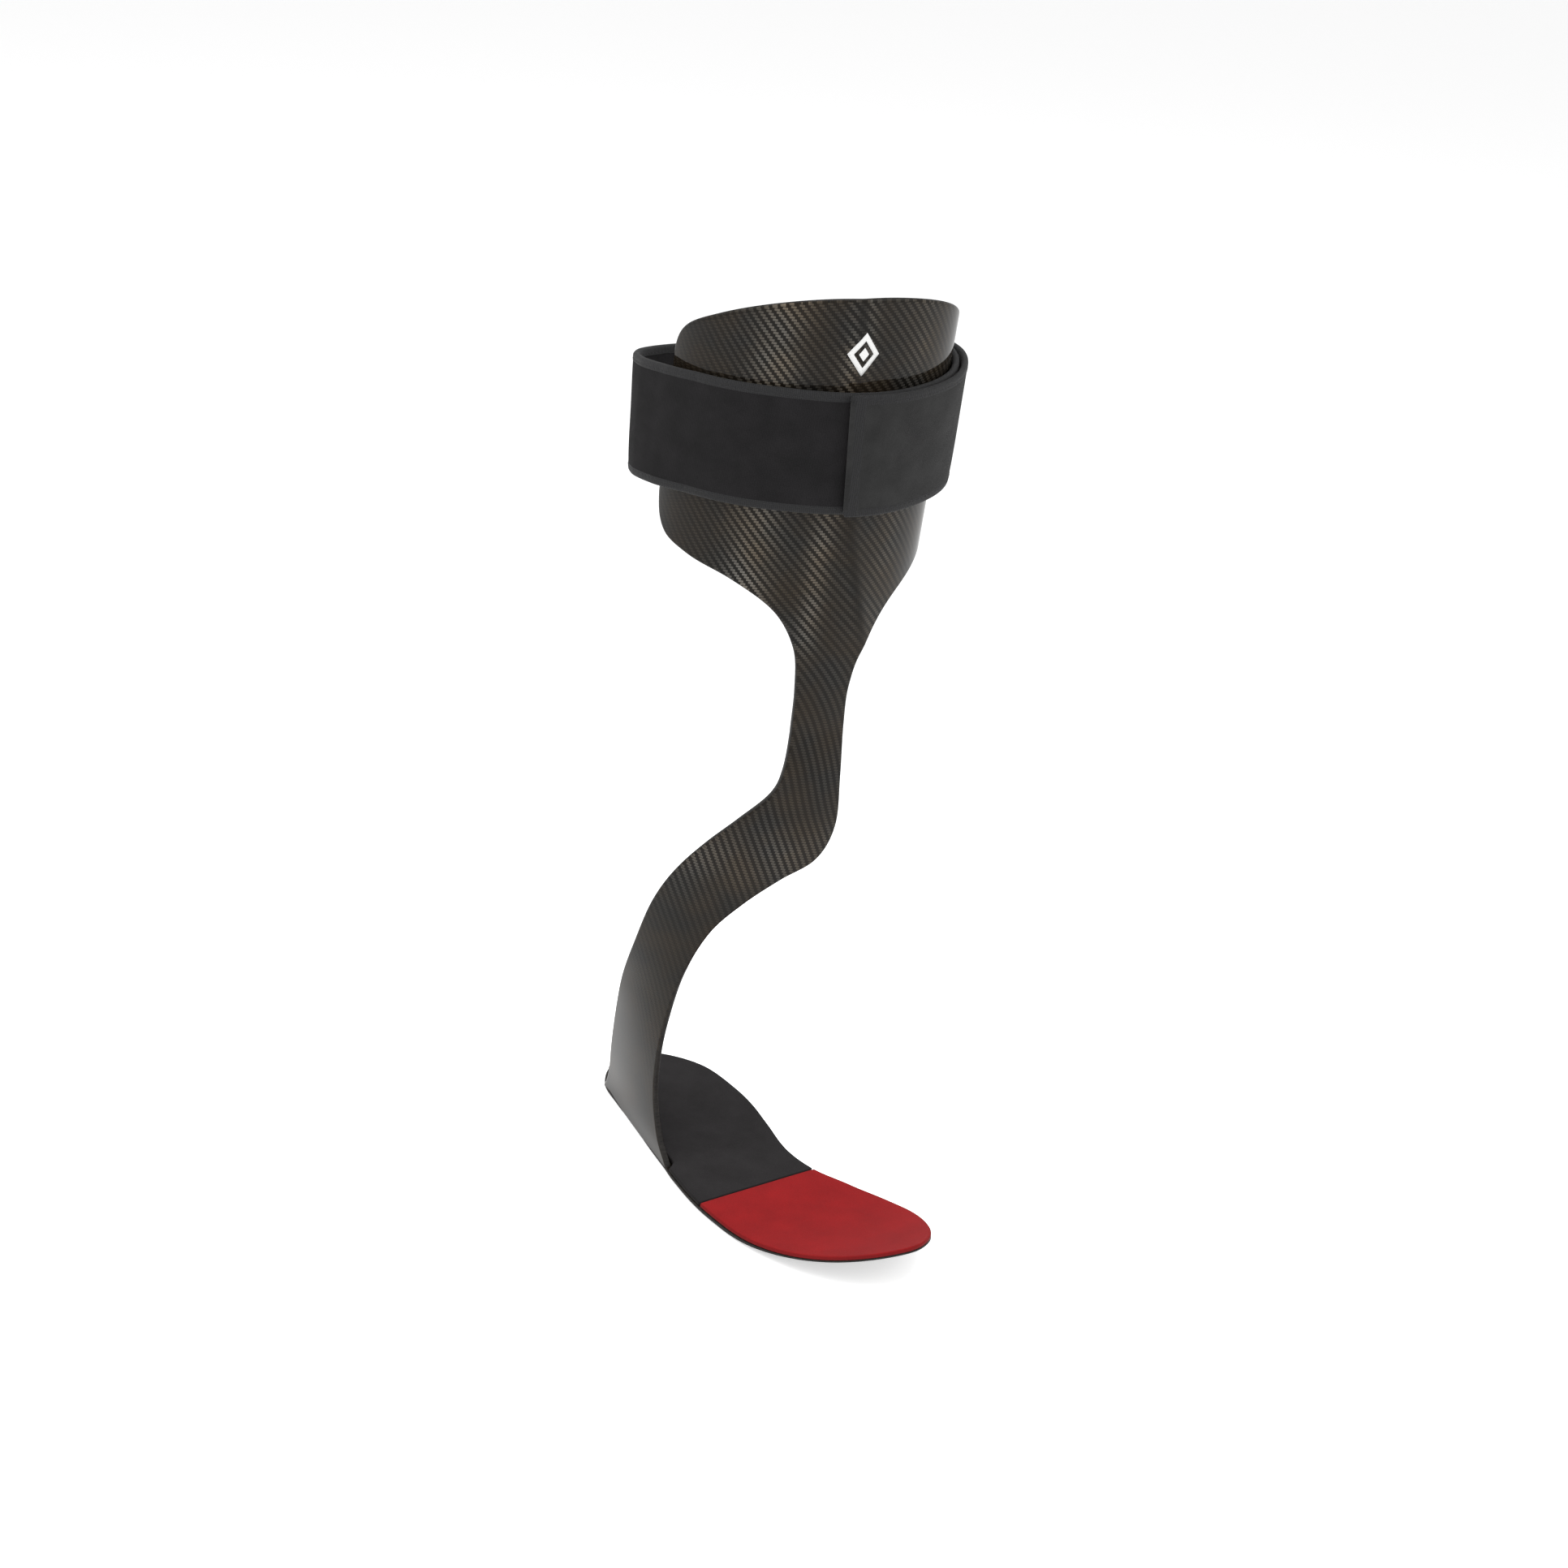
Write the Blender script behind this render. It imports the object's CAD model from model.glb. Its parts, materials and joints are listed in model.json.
"""Ankle foot orthosis: the looks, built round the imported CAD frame.

Shapes are worked out in millimetres, in the frame's own axes (X to the toes, Y medial, Z up), and
turned into metres when a mesh is made. The leg form, the outlines and the strap's path are the CAD
part's own.
"""

import json
import math

import bpy
import numpy as np
from mathutils import Matrix, Vector


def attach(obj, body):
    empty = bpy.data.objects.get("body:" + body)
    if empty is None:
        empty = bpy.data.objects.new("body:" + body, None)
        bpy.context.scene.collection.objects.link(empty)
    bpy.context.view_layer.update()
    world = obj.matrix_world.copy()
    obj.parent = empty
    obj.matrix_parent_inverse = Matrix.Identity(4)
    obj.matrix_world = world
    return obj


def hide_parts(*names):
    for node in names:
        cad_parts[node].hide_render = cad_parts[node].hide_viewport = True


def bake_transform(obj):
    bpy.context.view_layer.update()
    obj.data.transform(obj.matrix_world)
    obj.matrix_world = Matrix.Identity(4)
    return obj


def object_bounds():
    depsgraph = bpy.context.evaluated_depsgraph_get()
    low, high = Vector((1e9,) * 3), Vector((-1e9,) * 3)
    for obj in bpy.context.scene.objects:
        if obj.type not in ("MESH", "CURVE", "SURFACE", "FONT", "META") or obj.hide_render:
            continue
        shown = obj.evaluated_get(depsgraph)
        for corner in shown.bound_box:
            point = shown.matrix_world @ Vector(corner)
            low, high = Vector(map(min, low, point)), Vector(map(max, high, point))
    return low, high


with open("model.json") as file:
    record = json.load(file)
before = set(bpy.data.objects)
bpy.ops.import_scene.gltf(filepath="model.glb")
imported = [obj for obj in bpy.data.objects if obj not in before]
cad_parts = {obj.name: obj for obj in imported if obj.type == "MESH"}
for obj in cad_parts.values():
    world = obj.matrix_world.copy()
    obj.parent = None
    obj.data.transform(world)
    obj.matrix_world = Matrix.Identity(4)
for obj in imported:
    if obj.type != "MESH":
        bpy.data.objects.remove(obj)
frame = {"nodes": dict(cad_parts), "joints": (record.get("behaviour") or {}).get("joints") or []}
cad_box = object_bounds()

MM = 0.001

# -------- driving dimensions, mm and degrees

# Leg form: a slightly leaning cone that the shell, the liner and the strap follow.
LEG_X, LEG_Y, LEG_Z = 28, 12, 333
LEG_LEAN = 0.1
LEG_RADIUS, LEG_RADIUS_Z, LEG_TAPER = 62.5, 215, 0.0067

# Shin crest: [height, angle from the front, ridge height].
CREST = np.array([[240, 14, 0], [262, 9, 2], [288, 1.5, 3.2], [333, -10, 3.2], [440, -19, 2.2]], float)
CREST_SPREAD = 9
CREST_TIP = 1.5

SHELL_THICK, STRUT_THICK, WALL_THICK, PLATE_THICK = 2.4, 4, 3, 2

# Shell outline, from the strut up to where the sides run straight: [lateral angle, medial angle, height].
SHELL_OUTLINE = np.array([
    [21, 4, 236], [22, 2.5, 258], [25.5, 6, 279], [36.5, 18.5, 297.5], [56, 39.5, 310],
    [78, 62, 316.5], [94.5, 77, 323], [101, 82, 338], [101, 82, 372],
], float)
SIDE_STATION = 7  # the sides are straight above this station
SHELL_LATERAL, SHELL_MEDIAL = 101, 82
CORNER_Z = 402  # the top corners start to round here
RIM_LATERAL, RIM_MEDIAL, RIM_Z, RIM_RISE, RIM_TILT = 74, 68, 420.5, 19, 6

# Strut and wall outline, from the sole up: back edge point, front edge point, bow in degrees.
STRUT_OUTLINE = np.array([
    [-35, -27, 2.3, 47, -42.5, 2.3, 1],
    [-29, -29.5, 15, 39, -43, 15, 2],
    [-23, -33, 34, 32, -42, 35, 4],
    [-13, -38, 60, 33, -42, 58, 6],
    [0, -44, 86, 38, -41, 82, 8],
    [16, -49, 112, 46, -39, 107, 10],
    [32, -51, 141, 57, -33, 132, 12],
    [45, -48, 162, 67, -22, 149, 13],
    [57, -40, 179, 75, -7.5, 162, 13],
    [67, -29, 193, 79, 9, 171, 13],
    [74, -17, 206, 80.5, 17, 187, 13],
    [77, -13, 218, 81, 17, 212, 12.6],
], float)

# Footplate outline, counter-clockwise from the heel along the lateral edge.
SOLE_OUTLINE = np.array([
    [-57, -2], [-50, -15.5], [-37, -26.5], [-18, -31], [0, -34], [30, -40], [60, -45], [76, -47],
    [92, -47.5], [124, -44.5], [152, -36], [172, -24], [183, -11], [187, 2], [180, 16], [165, 28],
    [145, 35], [124, 34], [104, 28], [84, 20.5], [64, 19], [38, 24.5], [19, 28.5], [0, 30],
    [-26, 28], [-44, 18], [-54, 6],
], float)
TOE_SPRING, BALL_X, SPRING_POWER = 21, 105, 1.9
FOREFOOT_X = 84
COVER_TOP = 4.2
COVER_BORDER = 0.5
COVER_WALL_BORDER = 4.6
WALL_REAR_X, WALL_FRONT_X = -44, 52

# Strap.
STRAP_LOW, STRAP_HIGH, STRAP_THICK = 345, 400, 2.3
STRAP_MEDIAL_RISE, STRAP_REAR_DROP = 4, 11
STRAP_CREST, STRAP_CREST_SPREAD = 3.2, 18
STRAP_ANCHOR = -97
TONGUE_ROOT, TONGUE_TIP = 90, -16
FRONT_END = 78
FRONT_STAND_OFF, TONGUE_STAND_OFF = 1.4, 5.4
ANCHOR_STAND_OFF = 3.2  # the front band lifts this much by its anchor, from ANCHOR_LIFT_FROM
ANCHOR_LIFT_FROM = -80
REAR_STAND_OFF = np.array([
    [90, 5.2], [110, 4.5], [140, 0], [165, -2], [190, 0], [212, 4.5], [228, 8], [237, 8.8],
    [250, 7.8], [263, 4.6],
], float)
REAR_FLARE = 0.09  # the rear band flares out like the calf, mm for each mm of height
FLARE_SHARE = np.array([[90, 0], [130, 1], [190, 1], [237, 0.65], [263, 0]], float)
TAPE_HEIGHT, TAPE_PROUD = 4, 0.3
LAP = 8  # half angle of the sewn lap at the back of the strap

# Liner.
LINER_LOW, LINER_HIGH, LINER_LATERAL, LINER_MEDIAL = 334, 408, -84, 68
LINER_FACE = -SHELL_THICK - 1.7  # offset of the liner's outer face from the leg form
LINER_THICK = 5

# Emblem.
EMBLEM_Z, EMBLEM_ANGLE, EMBLEM_HALF_WIDTH, EMBLEM_HALF_HEIGHT = 416, -16, 7, 9.5

# -------- camera

CAMERA_TARGET = Vector((0.01265, 0, 0.19282))
CAMERA_AZIMUTH, CAMERA_ELEVATION, CAMERA_ROLL = 54.721, 22.842, 4.201
CAMERA_DISTANCE = 1.25
CAMERA_LENS, SENSOR = 60.09, 36
CAMERA_SHIFT = (0.0375, -0.0102)


def linked(name, data):
    """A new object with that data, in the scene."""
    made = bpy.data.objects.new(name, data)
    bpy.context.scene.collection.objects.link(made)
    return made


def direction(azimuth, elevation):
    """The way to a place seen at those angles: azimuth 0 is -Y, and 90 is +X."""
    a, e = math.radians(azimuth), math.radians(elevation)
    return Vector((math.sin(a) * math.cos(e), -math.cos(a) * math.cos(e), math.sin(e)))


def make_camera():
    back = direction(CAMERA_AZIMUTH, CAMERA_ELEVATION)
    data = bpy.data.cameras.new("camera")
    data.sensor_width = SENSOR
    data.lens = CAMERA_LENS
    data.shift_x, data.shift_y = CAMERA_SHIFT
    camera = linked("camera", data)
    look = (-back).to_track_quat("-Z", "Y").to_matrix().to_4x4()
    roll = Matrix.Rotation(math.radians(CAMERA_ROLL), 4, "Z")
    camera.matrix_world = Matrix.Translation(CAMERA_TARGET + back * CAMERA_DISTANCE) @ look @ roll
    bpy.context.scene.camera = camera


make_camera()

# -------- numbers and curves


def lerp(a, b, share):
    return a + (b - a) * share


def smooth(x, low, high):
    """0 below low, 1 above high, and an S between."""
    t = np.clip((np.asarray(x, float) - low) / (high - low), 0, 1)
    return t * t * (3 - 2 * t)


def bell(x, place, half_width, height):
    """A smooth bump of that height."""
    return height * np.exp(-((x - place) / half_width) ** 2)


def unit(v):
    return v / np.maximum(np.linalg.norm(v, axis=-1, keepdims=True), 1e-9)


def spline_row(rows, t):
    """Catmull-Rom interpolation of whole rows at station t, straight beyond the first row."""
    if t < 0:
        return rows[0] + t * (spline_row(rows, 0.01) - rows[0]) / 0.01
    last = len(rows) - 1
    span = min(int(t), last - 1)
    x = t - span
    b, c = rows[span], rows[span + 1]
    a = rows[span - 1] if span > 0 else 2 * b - c
    d = rows[span + 2] if span + 2 <= last else 2 * c - b
    return 0.5 * (2 * b + (c - a) * x + (2 * a - 5 * b + 4 * c - d) * x ** 2
                  + (3 * b - a - 3 * c + d) * x ** 3)


def closed_spline(points, per_span):
    """Closed centripetal Catmull-Rom curve through the points."""
    curve = []
    share = np.arange(per_span)[:, None] / per_span
    count = len(points)
    for i in range(count):
        p = [points[(i + k) % count] for k in (-1, 0, 1, 2)]
        d = [math.sqrt(np.linalg.norm(p[k + 1] - p[k])) for k in range(3)]
        start = (p[1] - p[0]) / d[0] - (p[2] - p[0]) / (d[0] + d[1]) + (p[2] - p[1]) / d[1]
        end = (p[2] - p[1]) / d[1] - (p[3] - p[1]) / (d[1] + d[2]) + (p[3] - p[2]) / d[2]
        start, end = start * d[1], end * d[1]
        curve.append(p[1] + start * share
                     + (3 * (p[2] - p[1]) - 2 * start - end) * share ** 2
                     + (2 * (p[1] - p[2]) + start + end) * share ** 3)
    return np.concatenate(curve)


def evenly(points, count):
    """The line through the points, as count points evenly far apart."""
    steps = np.linalg.norm(np.diff(points, axis=0), axis=1)
    along = np.concatenate([[0], np.cumsum(steps)])
    wanted = np.linspace(0, along[-1], count)
    return np.stack([np.interp(wanted, along, points[:, k]) for k in range(points.shape[1])], axis=1)


# -------- the leg form


def leg_x(z):
    return LEG_X + LEG_LEAN * (z - LEG_Z)


def leg_radius(z):
    return LEG_RADIUS + LEG_TAPER * (z - LEG_RADIUS_Z)


def leg_point(angle, z, off=0):
    """Points at angles from the front (medial positive), heights and distances off the form."""
    turn = np.radians(angle)
    radius = leg_radius(z) + off
    return np.stack(np.broadcast_arrays(
        leg_x(z) + radius * np.cos(turn), LEG_Y + radius * np.sin(turn), z * np.ones_like(turn)), axis=-1)


def unrolled(angle, z):
    """Flat coordinates of places on the form, in millimetres."""
    return np.stack([np.radians(angle) * leg_radius(z), z], axis=-1)


def crest_angle(z):
    return np.interp(z, CREST[:, 0], CREST[:, 1])


def crest_height(angle, z):
    away = np.hypot(angle - crest_angle(z), CREST_TIP) - CREST_TIP
    return np.interp(z, CREST[:, 0], CREST[:, 2]) * np.exp(-away / CREST_SPREAD)


# -------- meshes


def point_values(mesh, name, values):
    """Give the mesh's points a number each, for its material to read."""
    data = mesh.attributes.new(name, "FLOAT", "POINT").data
    data.foreach_set("value", np.asarray(values, np.float32))


def make_object(name, points, faces, weave=None, edge=None, material=None, rim=None):
    """A mesh object from points in millimetres. weave is the cloth's own flat coordinates in millimetres,
    edge says how far into a rounded edge a point lies, from 0 to 1, and rim is the material of faces
    that lie further in than RIM_FROM."""
    mesh = bpy.data.meshes.new(name)
    mesh.from_pydata((np.asarray(points) * MM).tolist(), [], faces)
    mesh.polygons.foreach_set("use_smooth", [True] * len(mesh.polygons))
    if weave is not None:
        flat = np.pad(weave, [(0, 0), (0, 1)]).astype(np.float32)
        mesh.attributes.new("weave", "FLOAT_VECTOR", "POINT").data.foreach_set("vector", flat.ravel())
    if edge is not None:
        point_values(mesh, "edge", edge)
    if material is not None:
        mesh.materials.append(material)
    if rim is not None:
        mesh.materials.append(rim)
        mesh.polygons.foreach_set("material_index", [int(edge[face].min() > RIM_FROM) for face in faces])
    mesh.validate()
    mesh.update()
    return linked(name, mesh)


def facing_out(points, faces):
    """The faces, turned round if the closed body they make is inside out."""
    p = np.asarray(points)
    volume = sum(
        np.dot(p[f[0]], np.cross(p[f[k]], p[f[k + 1]])) for f in faces for k in range(1, len(f) - 1)
    )
    return faces if volume > 0 else [f[::-1] for f in faces]


def border(rows, columns):
    """Row and column numbers of a grid's border, in order round it."""
    i = [0] * columns + list(range(1, rows))
    i += [rows - 1] * (columns - 1) + list(range(rows - 2, 0, -1))
    j = list(range(columns)) + [columns - 1] * (rows - 1)
    j += list(range(columns - 2, -1, -1)) + [0] * (rows - 2)
    return np.array(i), np.array(j)


def grid_faces(grid):
    """Faces of a grid of point numbers."""
    corners = [grid[:-1, :-1], grid[:-1, 1:], grid[1:, 1:], grid[1:, :-1]]
    return np.stack(corners, axis=-1).reshape(-1, 4).tolist()


def faces_between(loops):
    """Faces between each closed loop of point numbers and the next."""
    loops = np.array(loops)
    return grid_faces(np.concatenate([loops, loops[:, :1]], axis=1))


EDGE_STEPS = 4  # steps of a quarter round
RIM_FROM = 0.6  # faces this far into a rounded edge are its rim


def slab(name, outer, inner, radius, weave, material, rim=None):
    """Closed body between two faces, given as grids of points, whose rim is rounded outwards from the
    grids' border by radius: one number, or one for each row of the grid. weave is a grid of flat
    coordinates, and rim is the rim's own material."""
    rows, columns = outer.shape[:2]
    i, j = border(rows, columns)
    loop = outer[i, j]
    through = inner[i, j] - loop
    thick = np.linalg.norm(through, axis=1)[:, None]
    through = through / thick
    tangent = unit(np.roll(loop, -1, axis=0) - np.roll(loop, 1, axis=0))
    out = unit(np.cross(tangent, through))
    inward = outer[np.clip(i, 1, rows - 2), np.clip(j, 1, columns - 2)] - loop
    if (out * inward).sum() > 0:
        out = -out
    round_by = np.minimum(np.broadcast_to(radius, rows)[i][:, None], thick / 2)
    rings, ring_edge = [], []
    for turn in np.radians(np.linspace(0, 180, 2 * EDGE_STEPS + 1)[1:-1]):
        sunk = round_by * (1 - abs(math.cos(turn)))
        depth = sunk if turn <= math.pi / 2 else thick - sunk
        rings.append(loop + out * round_by * math.sin(turn) + through * depth)
        ring_edge.append(np.full(len(i), math.sin(turn)))
    face = rows * columns
    points = np.concatenate([outer.reshape(-1, 3), inner.reshape(-1, 3), *rings])
    edge = np.concatenate([np.zeros(2 * face), *ring_edge])
    flat = np.concatenate([weave.reshape(face, -1)] * 2 + [weave[i, j]] * len(rings))
    grid = np.arange(face).reshape(rows, columns)
    ring_loops = np.arange(2 * face, len(points)).reshape(len(rings), -1)
    loops = [grid[i, j], *ring_loops, face + grid[i, j]]
    faces = grid_faces(grid) + grid_faces(face + grid[::-1]) + faces_between(loops[::-1])
    return make_object(name, points, facing_out(points, faces), flat, edge, material, rim)


# -------- materials


def add(tree, kind, inputs=None, **settings):
    """A new shader node. inputs maps a socket to a value, or to the socket that feeds it."""
    made = tree.nodes.new("ShaderNode" + kind)
    for name, value in settings.items():
        setattr(made, name, value)
    for key, value in (inputs or {}).items():
        if isinstance(value, bpy.types.NodeSocket):
            tree.links.new(value, made.inputs[key])
        else:
            made.inputs[key].default_value = value
    return made


def maths(tree, operation, a, b=0.0, c=0.0):
    return add(tree, "Math", {0: a, 1: b, 2: c}, operation=operation).outputs[0]


def mixed(tree, share, a, b):
    """Colour mix of a and b."""
    return add(tree, "Mix", {0: share, 6: a, 7: b}, data_type="RGBA").outputs[2]


def ramp(tree, share, low, high):
    """share, stretched so that low gives 0 and high gives 1."""
    return add(tree, "MapRange", {"Value": share, "From Min": low, "From Max": high}).outputs[0]


def colour(red, green, blue):
    return (red, green, blue, 1)


def start_material(name, **fixed):
    """A material and its node tree and shader, with the shader's fixed values set."""
    material = bpy.data.materials.new(name)
    material.use_nodes = True
    tree = material.node_tree
    shader = tree.nodes["Principled BSDF"]
    for socket, value in fixed.items():
        shader.inputs[socket.replace("_", " ")].default_value = value
    return material, tree, shader


def flat_place(tree, turn=0.0, scale=1.0):
    """The mesh's own flat cloth coordinates, turned by an angle in degrees, and scaled."""
    place = add(tree, "Attribute", attribute_name="weave").outputs["Vector"]
    if turn:
        place = add(tree, "VectorRotate", {"Vector": place, "Angle": math.radians(turn)},
                    rotation_type="Z_AXIS").outputs[0]
    return add(tree, "VectorMath", {0: place, "Scale": scale}, operation="SCALE").outputs[0]


def noise(tree, place, scale, detail=3.0, roughness=0.5):
    inputs = {"Vector": place, "Scale": scale, "Detail": detail, "Roughness": roughness}
    return add(tree, "TexNoise", inputs).outputs[0]


def times(tree, a, b):
    return maths(tree, "MULTIPLY", a, b)


def plus(tree, a, b):
    return maths(tree, "ADD", a, b)


def stretched(tree, place, factors):
    return add(tree, "VectorMath", {0: place, 1: factors}, operation="MULTIPLY").outputs[0]


def object_place(tree):
    return add(tree, "TexCoord").outputs["Object"]


def lerp_node(tree, share, low, high):
    """low where share is 0 and high where it is 1."""
    return add(tree, "MapRange", {"Value": share, "To Min": low, "To Max": high}).outputs[0]


def shaded(tree, light, amount, cloth):
    """The cloth, darkened by that amount where light is 0."""
    return mixed(tree, light, mixed(tree, amount, cloth, colour(0, 0, 0)), cloth)


def surfaced(tree, shader, cloth, height, strength, distance):
    """Give the shader its colour, and a bump of that height."""
    bump = add(tree, "Bump", {"Height": height, "Strength": strength, "Distance": distance})
    tree.links.new(cloth, shader.inputs["Base Color"])
    tree.links.new(bump.outputs[0], shader.inputs["Normal"])


TOW = 1.1  # width of one carbon tow
WALE = 47  # slope of the twill's diagonal lines below level


def carbon_material():
    """Two by two twill under a clear gloss coat, with tinted resin."""
    material, tree, shader = start_material(
        "carbon_twill", Coat_Weight=0.65, Coat_Roughness=0.035, Coat_IOR=1.28, Specular_IOR_Level=0.0)
    millimetres = flat_place(tree)
    place = flat_place(tree, 45 + WALE, 1 / TOW)
    p, q = add(tree, "SeparateXYZ", {0: place}).outputs[:2]
    cell = maths(tree, "SUBTRACT", maths(tree, "FLOOR", p), maths(tree, "FLOOR", q))
    step = maths(tree, "FLOORED_MODULO", cell, 4.0)
    warp_up = maths(tree, "LESS_THAN", step, 1.5)

    def crown(along):
        return maths(tree, "SINE", times(tree, maths(tree, "FRACT", along), math.pi))

    weft_up = maths(tree, "SUBTRACT", 1.0, warp_up)
    height = plus(tree, times(tree, crown(p), warp_up), times(tree, crown(q), weft_up))
    fibre = noise(tree, stretched(tree, place, (9.0, 1.2, 1.0)), 2.0, 2.0)
    patch = ramp(tree, noise(tree, millimetres, 0.05, 2.0), 0.35, 0.65)
    shine = add(tree, "Attribute", attribute_name="lustre").outputs["Fac"]
    shine = times(tree, shine, lerp_node(tree, patch, 0.55, 1.0))
    lit = times(tree, warp_up, lerp_node(tree, shine, 0.06, 1.0))
    lit = times(tree, lit, ramp(tree, fibre, 0.1, 0.75))
    tint = ramp(tree, noise(tree, millimetres, 0.045, 2.0), 0.35, 0.65)
    bright = mixed(tree, tint, colour(0.205, 0.168, 0.124), colour(0.190, 0.178, 0.158))
    dark = mixed(tree, tint, colour(0.0155, 0.0113, 0.0072), colour(0.008, 0.0073, 0.0062))
    cloth = mixed(tree, lit, dark, bright)
    gap = ramp(tree, height, 0.0, 0.55)
    cloth = mixed(tree, gap, colour(0.004, 0.004, 0.004), cloth)
    tree.links.new(lerp_node(tree, fibre, 0.34, 0.46), shader.inputs["Roughness"])
    surfaced(tree, shader, cloth, plus(tree, height, times(tree, fibre, 0.3)), 0.35, 0.00012)
    return material


def cut_edge_material():
    """The laminate's sanded cut edge: matt, with its plies just showing."""
    material, tree, shader = start_material("carbon_cut_edge", Roughness=0.62, Specular_IOR_Level=0.2)
    plies = noise(tree, stretched(tree, object_place(tree), (300.0, 300.0, 2600.0)), 1.0, 3.0)
    resin, fibres = colour(0.007, 0.0065, 0.006), colour(0.02, 0.018, 0.016)
    cloth = mixed(tree, ramp(tree, plies, 0.35, 0.65), resin, fibres)
    surfaced(tree, shader, cloth, plies, 0.25, 0.0001)
    return material


def cover_material(name, base, shade, pressed):
    """Brushed microfibre over a thin foam: fine nap, slight mottling, and a pressed edge."""
    material, tree, shader = start_material(
        name, Roughness=0.88, Sheen_Weight=0.02, Sheen_Roughness=0.5, Specular_IOR_Level=0.05)
    millimetres = flat_place(tree)
    mottle = ramp(tree, noise(tree, millimetres, 0.05, 4.0, 0.6), 0.3, 0.7)
    nap = noise(tree, stretched(tree, millimetres, (1.0, 0.45, 1.0)), 2.6, 5.0, 0.7)
    cloth = shaded(tree, ramp(tree, nap, 0.2, 0.8), 0.35, mixed(tree, mottle, base, shade))
    edge = add(tree, "Attribute", attribute_name="edge").outputs["Fac"]
    cloth = mixed(tree, times(tree, edge, 0.75), cloth, pressed)
    surfaced(tree, shader, cloth, nap, 0.5, 0.0003)
    return material


def knit_material(name, base, worn, pitch, fuzz, sheen):
    """Knitted loop fabric: rows of small loops, with a fuzzy nap over them."""
    material, tree, shader = start_material(
        name, Roughness=0.92, Sheen_Weight=sheen, Sheen_Roughness=0.55, Specular_IOR_Level=0.05)
    p, q = add(tree, "SeparateXYZ", {0: flat_place(tree, 0, 2 * math.pi / pitch)}).outputs[:2]
    across = maths(tree, "SINE", p)
    lean = plus(tree, times(tree, q, 1.5), times(tree, across, 0.9))
    up = maths(tree, "ABSOLUTE", maths(tree, "SINE", lean))
    loops = times(tree, maths(tree, "ABSOLUTE", across), up)
    millimetres = flat_place(tree)
    nap = noise(tree, millimetres, 1.9, 5.0, 0.75)
    wear = ramp(tree, noise(tree, millimetres, 0.07, 3.0, 0.6), 0.35, 0.7)
    height = plus(tree, times(tree, loops, 1 - fuzz), times(tree, nap, fuzz * 1.6))
    cloth = shaded(tree, ramp(tree, height, 0.0, 0.8), 0.5, mixed(tree, wear, base, worn))
    surfaced(tree, shader, cloth, height, 0.55, 0.0003)
    return material


def ribbed_material(name, base, worn, pitch):
    """Woven grosgrain tape: fine ribs across its length."""
    material, tree, shader = start_material(
        name, Roughness=0.8, Sheen_Weight=0.05, Sheen_Roughness=0.4, Specular_IOR_Level=0.15)
    split = add(tree, "SeparateXYZ", {0: flat_place(tree, 0, math.pi / pitch)})
    ribs = maths(tree, "ABSOLUTE", maths(tree, "SINE", split.outputs[0]))
    yarn = noise(tree, flat_place(tree), 2.4, 3.0)
    height = plus(tree, ribs, times(tree, yarn, 0.6))
    cloth = mixed(tree, ramp(tree, yarn, 0.3, 0.7), base, worn)
    cloth = shaded(tree, ramp(tree, ribs, 0.0, 0.6), 0.45, cloth)
    surfaced(tree, shader, cloth, height, 0.5, 0.00025)
    return material


def hook_material():
    """Moulded hook tape: a field of tiny hooks on a woven backing."""
    material, tree, shader = start_material("hook_tape", Roughness=0.6, Specular_IOR_Level=0.4)
    dots = add(tree, "TexVoronoi", {"Vector": object_place(tree), "Scale": 900.0, "Randomness": 0.35})
    height = ramp(tree, dots.outputs["Distance"], 0.55, 0.05)
    cloth = mixed(tree, height, colour(0.004, 0.004, 0.004), colour(0.022, 0.022, 0.023))
    surfaced(tree, shader, cloth, height, 0.8, 0.0004)
    return material


def ink_material():
    """White printed ink, very slightly worn."""
    material, tree, shader = start_material(
        "emblem_ink", Roughness=0.35, Specular_IOR_Level=0.5, Coat_Weight=0.6)
    worn = ramp(tree, noise(tree, object_place(tree), 1400.0, 3.0), 0.62, 0.75)
    ink = mixed(tree, worn, colour(0.70, 0.70, 0.69), colour(0.45, 0.44, 0.43))
    surfaced(tree, shader, ink, worn, 0.3, 0.00005)
    return material


def thread_material():
    """Twisted polyester thread."""
    material, tree, shader = start_material("thread", Roughness=0.7, Specular_IOR_Level=0.2)
    twist = noise(tree, object_place(tree), 2600.0, 2.0)
    yarn = mixed(tree, twist, colour(0.011, 0.011, 0.0115), colour(0.03, 0.03, 0.031))
    surfaced(tree, shader, yarn, twist, 0.4, 0.0001)
    return material


CARBON = carbon_material()
CUT_EDGE = cut_edge_material()
BLACK_COVER = cover_material(
    "black_cover", colour(0.0195, 0.018, 0.0185), colour(0.027, 0.025, 0.026), colour(0.01, 0.009, 0.009))
RED_COVER = cover_material(
    "red_cover", colour(0.31, 0.013, 0.0145), colour(0.25, 0.0115, 0.013), colour(0.11, 0.007, 0.008))
STRAP_CLOTH = knit_material(
    "strap_cloth", colour(0.015, 0.0145, 0.015), colour(0.02, 0.019, 0.02),
    pitch=1.3, fuzz=0.35, sheen=0.01)
LOOP_PILE = knit_material(
    "strap_loop_pile", colour(0.0205, 0.0205, 0.0205), colour(0.029, 0.029, 0.029),
    pitch=1.6, fuzz=0.8, sheen=0.04)
BINDING_TAPE = ribbed_material(
    "binding_tape", colour(0.0175, 0.0175, 0.0182), colour(0.0255, 0.0255, 0.0262), pitch=0.8)
LINER_CLOTH = knit_material(
    "liner_cloth", colour(0.02, 0.02, 0.022), colour(0.028, 0.028, 0.03), pitch=1.8, fuzz=0.3, sheen=0.2)
HOOK_TAPE = hook_material()
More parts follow.
